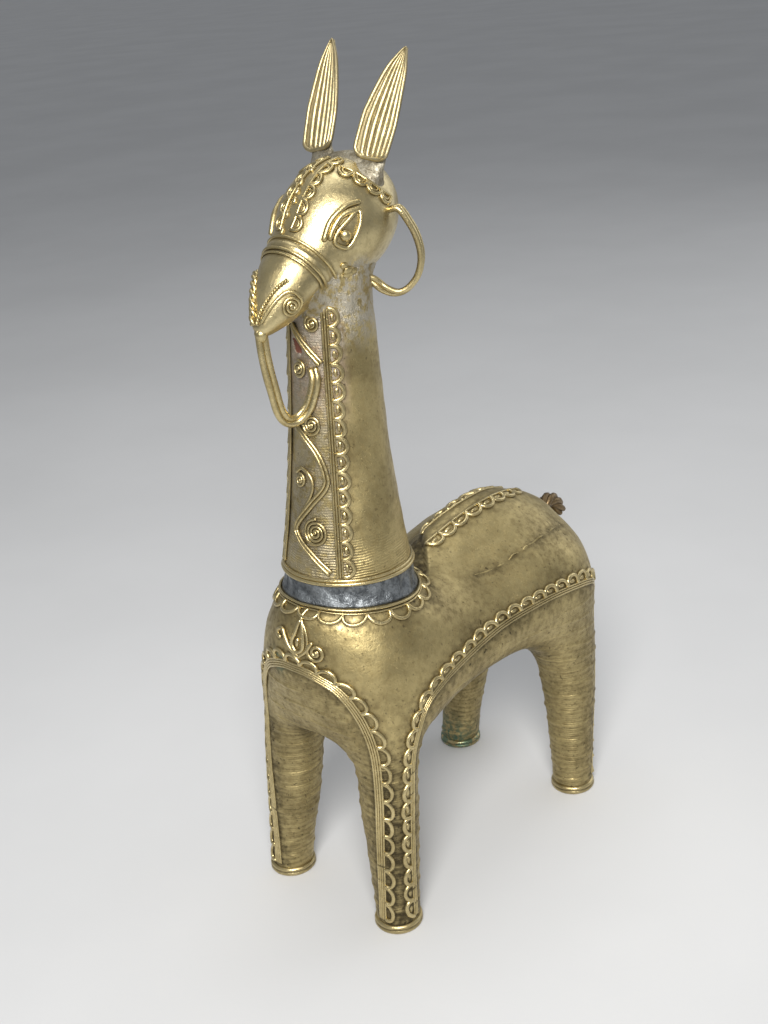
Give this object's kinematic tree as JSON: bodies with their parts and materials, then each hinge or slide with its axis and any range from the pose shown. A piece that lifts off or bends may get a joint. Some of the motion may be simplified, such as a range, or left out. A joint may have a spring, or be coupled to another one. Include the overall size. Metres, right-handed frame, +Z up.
{
  "type": "donkey figurine",
  "caption": "Standing long-necked donkey ornament in hollow cast brass, with upright leaf ears, halter loops and scalloped thread borders on neck, saddle line and legs.",
  "frame": {"origin": "on the floor, under the middle of the figure's bounding box", "axes": "+Z up, -Y the way the animal faces, +X its left side"},
  "size_m": [0.115, 0.2405, 0.4455],
  "materials": {
    "cast_brass": "aged satin",
    "thread_brass": "rubbed bright",
    "solder": "dull",
    "braze": "rough",
    "clay_core": "fired clay"
  },
  "bodies": {
    "root": {"back_border_left": "thread_brass", "back_border_right": "thread_brass", "body_core": "clay_core", "body_shell": "cast_brass", "brow_left": "thread_brass", "brow_right": "thread_brass", "cheek_loop_left": "thread_brass", "cheek_loop_right": "thread_brass", "chest_coil_left": "thread_brass", "chest_coil_right": "thread_brass", "chest_flower": "thread_brass", "collar_lower_ring": "thread_brass", "collar_scallops": "thread_brass", "collar_solder": "solder", "collar_upper_ring": "thread_brass", "ear_braze_left": "braze", "ear_braze_right": "braze", "ear_left": "cast_brass", "ear_right": "cast_brass", "eye_bead_left": "thread_brass", "eye_bead_right": "thread_brass", "eye_rim_left": "thread_brass", "eye_rim_right": "thread_brass", "face_border_left": "thread_brass", "face_border_right": "thread_brass", "foot_ring_front_left": "thread_brass", "foot_ring_front_right": "thread_brass", "foot_ring_rear_left": "thread_brass", "foot_ring_rear_right": "thread_brass", "front_border": "thread_brass", "head_core": "clay_core", "head_shell": "cast_brass", "jaw_braze": "braze", "neck_bar": "thread_brass", "neck_border_left": "thread_brass", "neck_border_right": "thread_brass", "neck_coil_1": "thread_brass", "neck_coil_2": "thread_brass", "neck_coil_3": "thread_brass", "neck_coil_4": "thread_brass", "neck_coil_5": "thread_brass", "neck_core": "clay_core", "neck_shell": "cast_brass", "neck_wave": "thread_brass", "noseband": "thread_brass", "nostril_coil_left": "thread_brass", "nostril_coil_right": "thread_brass", "nostril_thread_left": "thread_brass", "nostril_thread_right": "thread_brass", "poll_border_left": "thread_brass", "poll_border_right": "thread_brass", "rear_border": "thread_brass", "rein_loop": "thread_brass", "side_border_left": "thread_brass", "side_border_right": "thread_brass", "tail": "cast_brass"}
  },
  "joints": []
}
